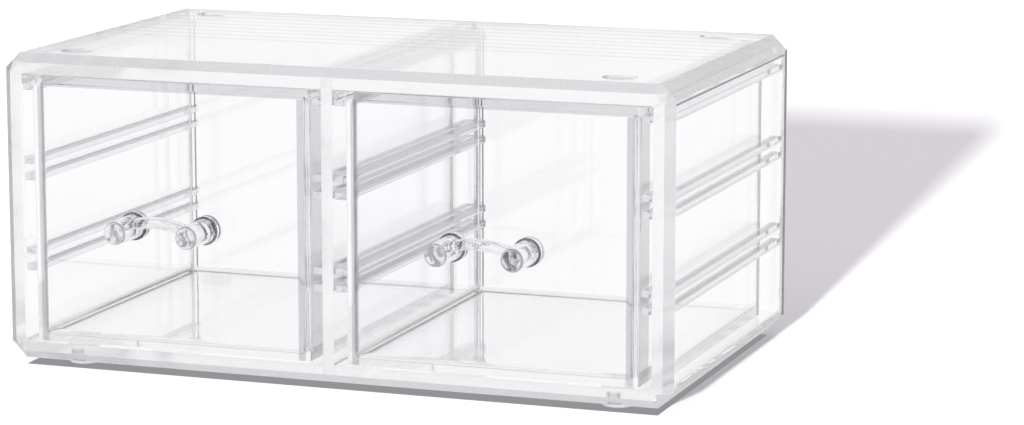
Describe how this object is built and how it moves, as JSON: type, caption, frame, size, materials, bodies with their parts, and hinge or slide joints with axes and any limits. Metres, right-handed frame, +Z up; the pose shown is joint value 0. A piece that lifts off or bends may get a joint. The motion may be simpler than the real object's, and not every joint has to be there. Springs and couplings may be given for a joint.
{
  "type": "makeup organizer",
  "caption": "Clear plastic countertop organizer: cut-corner case, divided bays with runner ribs, side-hung deep drawers with bridge handles.",
  "frame": {"origin": "middle of the overall footprint, handles included, on the surface that the feet stand on", "axes": "+X to the right seen from the front, +Y from the front to the back, +Z up"},
  "size_m": [0.31, 0.1992, 0.1406],
  "materials": {
    "clear_case": "water-clear, polished",
    "clear_drawer": "water-clear, polished",
    "clear_handle": "water-clear, polished",
    "bumper": "clear soft plastic"
  },
  "bodies": {
    "case": {"case_sleeve": "clear_case", "centre_divider": "clear_case", "back_panel": "clear_case", "foot_front_left": "bumper", "foot_front_right": "bumper", "foot_rear_left": "bumper", "foot_rear_right": "bumper"},
    "left_drawer": {"left_drawer_tub": "clear_drawer", "left_drawer_handle": "clear_handle", "left_drawer_handle_caps": "clear_handle"},
    "right_drawer": {"right_drawer_tub": "clear_drawer", "right_drawer_handle": "clear_handle", "right_drawer_handle_caps": "clear_handle"}
  },
  "joints": [
    {"name": "left_drawer_slide", "type": "slide", "parent": "case", "child": "left_drawer", "axis": [0, -1, 0], "range_m": [0, 0.14]},
    {"name": "right_drawer_slide", "type": "slide", "parent": "case", "child": "right_drawer", "axis": [0, -1, 0], "range_m": [0, 0.14]}
  ]
}
